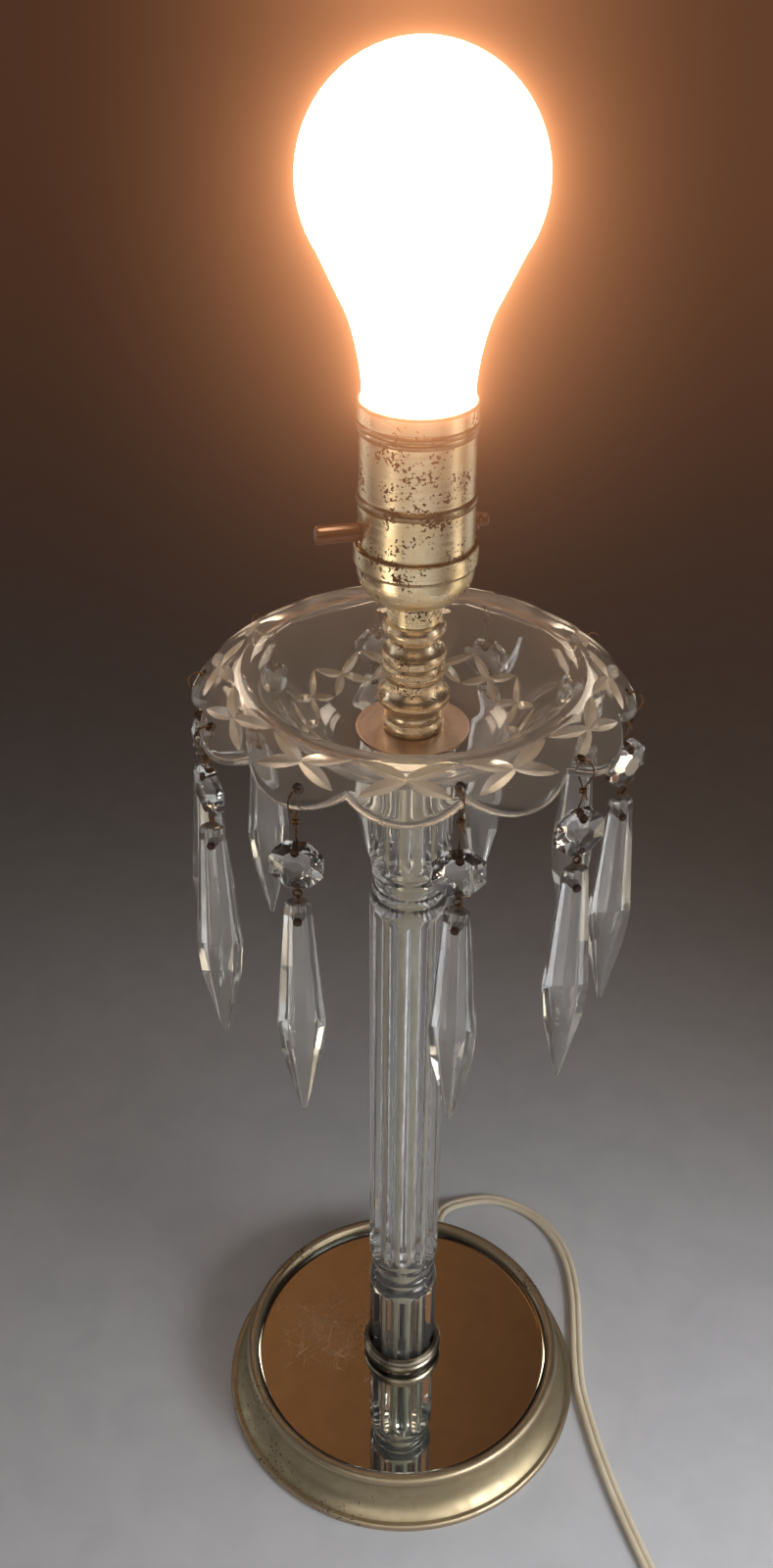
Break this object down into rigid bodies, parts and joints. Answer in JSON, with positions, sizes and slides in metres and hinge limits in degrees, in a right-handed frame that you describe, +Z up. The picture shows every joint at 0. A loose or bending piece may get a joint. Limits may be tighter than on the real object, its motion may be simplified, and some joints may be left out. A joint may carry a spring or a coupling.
{
  "type": "boudoir table lamp",
  "caption": "Boudoir table lamp with a fluted glass column, a mirrored metal base, a cut-glass drip dish hung with crystal pendants, a push-through socket and a bare bulb.",
  "frame": {"origin": "on the table under the column's axis, at the centre of the base's underside", "axes": "+Z up the column; the pictured front faces -Y, and +X is to its right"},
  "size_m": [0.2079, 0.2736, 0.505],
  "materials": {
    "plated_base": "worn silver plate, satin, dark in the hollows",
    "base_casting": "rough cast, painted dark",
    "mirror": "silvered plate glass, lightly spotted",
    "dark_nickel": "dark nickel plate",
    "pressed_glass": "clear pressed glass, polished",
    "lacquered_pipe": "cream lacquer",
    "cord": "ivory moulded cover, satin",
    "cut_glass": "clear glass with frosted cuts",
    "copper": "copper plate, satin",
    "plated_neck": "worn plate over brass, spotted",
    "socket_brass": "lacquered brass, spotted with tarnish",
    "socket_core": "black moulded insulation",
    "switch": "brown moulded bar, polished by use",
    "bulb_screw": "bare threaded shell",
    "bulb_glass": "frosted inside, warm light",
    "plug": "ivory moulded plastic with plated blades",
    "pendant_wire": "darkened brass wire",
    "crystal": "clear cut crystal, polished"
  },
  "bodies": {
    "stand": {"base_shell": "plated_base", "base_weight": "base_casting", "mirror_plate": "mirror", "column_collar": "dark_nickel", "glass_column": "pressed_glass", "lamp_pipe": "lacquered_pipe", "inner_lead": "cord", "glass_dish": "cut_glass", "dish_washer": "copper", "turned_neck": "plated_neck", "socket_cap": "socket_brass", "socket_shell": "socket_brass", "socket_core": "socket_core", "cord_bushing": "plug", "power_cord": "cord", "cord_coil": "cord", "cord_plug": "plug"},
    "switch": {"switch_bar": "switch"},
    "bulb": {"bulb_base": "bulb_screw", "bulb_glass": "bulb_glass"},
    "pendant_01": {"hook_01": "pendant_wire", "bead_01": "crystal"},
    "drop_01": {"link_01": "pendant_wire", "prism_01": "crystal"},
    "pendant_02": {"hook_02": "pendant_wire", "bead_02": "crystal"},
    "drop_02": {"link_02": "pendant_wire", "prism_02": "crystal"},
    "pendant_03": {"hook_03": "pendant_wire", "bead_03": "crystal"},
    "drop_03": {"link_03": "pendant_wire", "prism_03": "crystal"},
    "pendant_04": {"hook_04": "pendant_wire", "bead_04": "crystal"},
    "drop_04": {"link_04": "pendant_wire", "prism_04": "crystal"},
    "pendant_05": {"hook_05": "pendant_wire", "bead_05": "crystal"},
    "drop_05": {"link_05": "pendant_wire", "prism_05": "crystal"},
    "pendant_06": {"hook_06": "pendant_wire", "bead_06": "crystal"},
    "drop_06": {"link_06": "pendant_wire", "prism_06": "crystal"},
    "pendant_07": {"hook_07": "pendant_wire", "bead_07": "crystal"},
    "drop_07": {"link_07": "pendant_wire", "prism_07": "crystal"},
    "pendant_08": {"hook_08": "pendant_wire", "bead_08": "crystal"},
    "drop_08": {"link_08": "pendant_wire", "prism_08": "crystal"},
    "pendant_09": {"hook_09": "pendant_wire", "bead_09": "crystal"},
    "drop_09": {"link_09": "pendant_wire", "prism_09": "crystal"},
    "pendant_10": {"hook_10": "pendant_wire", "bead_10": "crystal"},
    "drop_10": {"link_10": "pendant_wire", "prism_10": "crystal"}
  },
  "joints": [
    {"name": "switch_push", "type": "slide", "parent": "stand", "child": "switch", "axis": [0.9659, 0.2588, 0], "range_m": [0, 0.005]},
    {"name": "bulb_out", "type": "slide", "parent": "stand", "child": "bulb", "axis": [0, 0, 1], "range_m": [0, 0.035]},
    {"name": "pendant_swing_01", "type": "hinge", "parent": "stand", "child": "pendant_01", "pos_m": [-0.05865, -0.02611, 0.32771], "axis": [-0.4067, 0.9135, 0], "range_deg": [-15, 25]},
    {"name": "drop_swing_01", "type": "hinge", "parent": "pendant_01", "child": "drop_01", "pos_m": [-0.05865, -0.02611, 0.30381], "axis": [-0.829, -0.5592, 0], "range_deg": [-12, 12]},
    {"name": "pendant_swing_02", "type": "hinge", "parent": "stand", "child": "pendant_02", "pos_m": [-0.03124, -0.05635, 0.3275], "axis": [-0.8746, 0.4848, 0], "range_deg": [-15, 25]},
    {"name": "drop_swing_02", "type": "hinge", "parent": "pendant_02", "child": "drop_02", "pos_m": [-0.03124, -0.05635, 0.3003], "axis": [-0.1392, -0.9903, 0], "range_deg": [-12, 12]},
    {"name": "pendant_swing_03", "type": "hinge", "parent": "stand", "child": "pendant_03", "pos_m": [0.01326, -0.05932, 0.33065], "axis": [-0.9759, -0.2181, 0], "range_deg": [-15, 25]},
    {"name": "drop_swing_03", "type": "hinge", "parent": "pendant_03", "child": "drop_03", "pos_m": [0.01326, -0.05932, 0.30065], "axis": [0.0698, -0.9976, 0], "range_deg": [-12, 12]},
    {"name": "pendant_swing_04", "type": "hinge", "parent": "stand", "child": "pendant_04", "pos_m": [0.04729, -0.0414, 0.32895], "axis": [-0.6587, -0.7524, 0], "range_deg": [-15, 25]},
    {"name": "drop_swing_04", "type": "hinge", "parent": "pendant_04", "child": "drop_04", "pos_m": [0.04729, -0.0414, 0.30255], "axis": [0.4067, -0.9135, 0], "range_deg": [-12, 12]},
    {"name": "pendant_swing_05", "type": "hinge", "parent": "stand", "child": "pendant_05", "pos_m": [0.06446, -0.00225, 0.32743], "axis": [-0.0349, -0.9994, 0], "range_deg": [-15, 25]},
    {"name": "drop_swing_05", "type": "hinge", "parent": "pendant_05", "child": "drop_05", "pos_m": [0.06446, -0.00225, 0.30003], "axis": [0.6691, -0.7431, 0], "range_deg": [-12, 12]},
    {"name": "pendant_swing_06", "type": "hinge", "parent": "stand", "child": "pendant_06", "pos_m": [0.05523, 0.03318, 0.3275], "axis": [0.515, -0.8572, 0], "range_deg": [-15, 25]},
    {"name": "drop_swing_06", "type": "hinge", "parent": "pendant_06", "child": "drop_06", "pos_m": [0.05523, 0.03318, 0.2997], "axis": [0.9703, 0.2419, 0], "range_deg": [-12, 12]},
    {"name": "pendant_swing_07", "type": "hinge", "parent": "stand", "child": "pendant_07", "pos_m": [0.02472, 0.05823, 0.32858], "axis": [0.9205, -0.3907, 0], "range_deg": [-15, 25]},
    {"name": "drop_swing_07", "type": "hinge", "parent": "pendant_07", "child": "drop_07", "pos_m": [0.02472, 0.05823, 0.30018], "axis": [0.2924, 0.9563, 0], "range_deg": [-12, 12]},
    {"name": "pendant_swing_08", "type": "hinge", "parent": "stand", "child": "pendant_08", "pos_m": [-0.01271, 0.05978, 0.33039], "axis": [0.9781, 0.2079, 0], "range_deg": [-15, 25]},
    {"name": "drop_swing_08", "type": "hinge", "parent": "pendant_08", "child": "drop_08", "pos_m": [-0.01271, 0.05978, 0.30339], "axis": [-0.309, 0.9511, 0], "range_deg": [-12, 12]},
    {"name": "pendant_swing_09", "type": "hinge", "parent": "stand", "child": "pendant_09", "pos_m": [-0.04939, 0.04, 0.32831], "axis": [0.6293, 0.7771, 0], "range_deg": [-15, 25]},
    {"name": "drop_swing_09", "type": "hinge", "parent": "pendant_09", "child": "drop_09", "pos_m": [-0.04939, 0.04, 0.30031], "axis": [-0.6691, 0.7431, 0], "range_deg": [-12, 12]},
    {"name": "pendant_swing_10", "type": "hinge", "parent": "stand", "child": "pendant_10", "pos_m": [-0.06427, 0.00449, 0.3275], "axis": [0.0698, 0.9976, 0], "range_deg": [-15, 25]},
    {"name": "drop_swing_10", "type": "hinge", "parent": "pendant_10", "child": "drop_10", "pos_m": [-0.06427, 0.00449, 0.3045], "axis": [-0.9994, 0.0349, 0], "range_deg": [-12, 12]}
  ]
}
